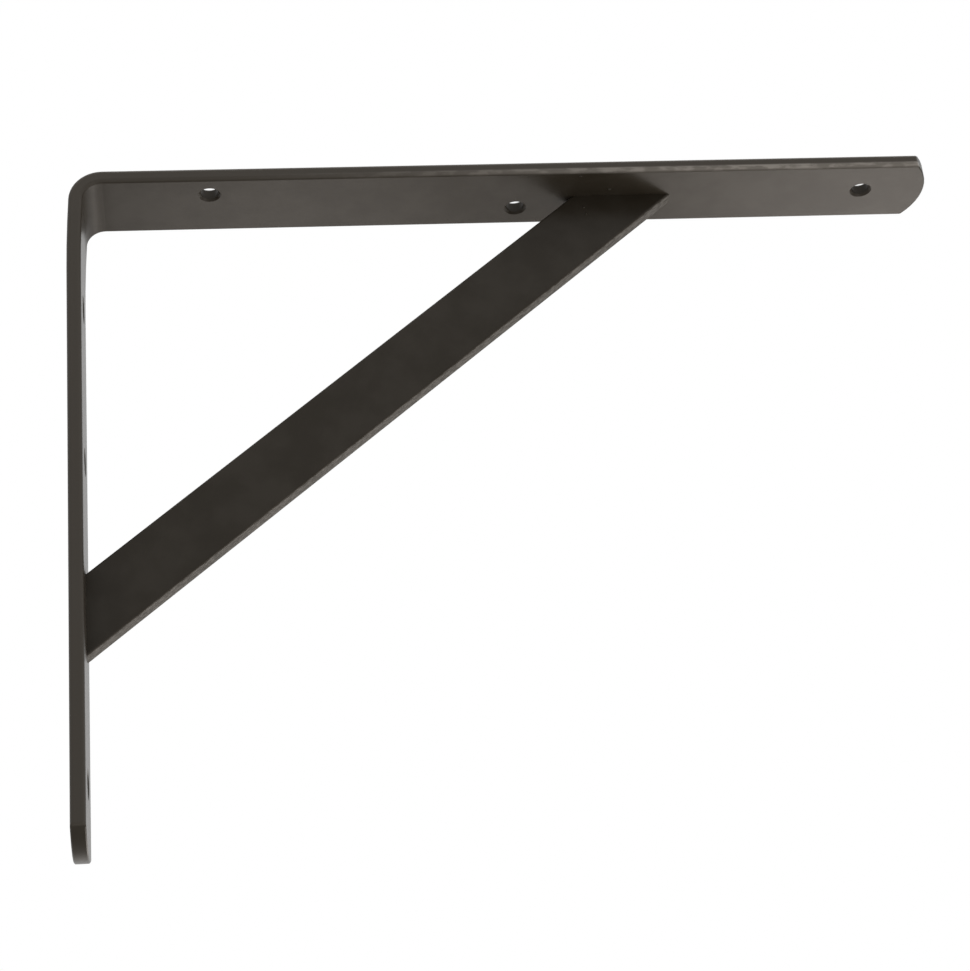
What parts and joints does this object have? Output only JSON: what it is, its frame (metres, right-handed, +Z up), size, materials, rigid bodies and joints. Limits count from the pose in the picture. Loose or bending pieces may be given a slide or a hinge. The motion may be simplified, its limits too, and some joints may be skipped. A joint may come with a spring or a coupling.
{
  "type": "shelf bracket",
  "caption": "Flat-bar steel shelf bracket: one bar bent into a wall leg and a shelf arm, with rounded ends and screw holes, stiffened by a diagonal bar welded in on edge.",
  "frame": {"origin": "on the wall face, on the axis of the top wall screw hole, at the middle of the bar's width", "axes": "+X out from the wall along the arm, +Y along the wall, +Z up towards the shelf face"},
  "size_m": [0.2495, 0.025, 0.2002],
  "materials": {
    "painted_steel": "semi-gloss dark brown-grey paint"
  },
  "bodies": {
    "root": {"angle_bar": "painted_steel", "brace": "painted_steel", "arm_weld": "painted_steel", "leg_weld": "painted_steel"}
  },
  "joints": []
}
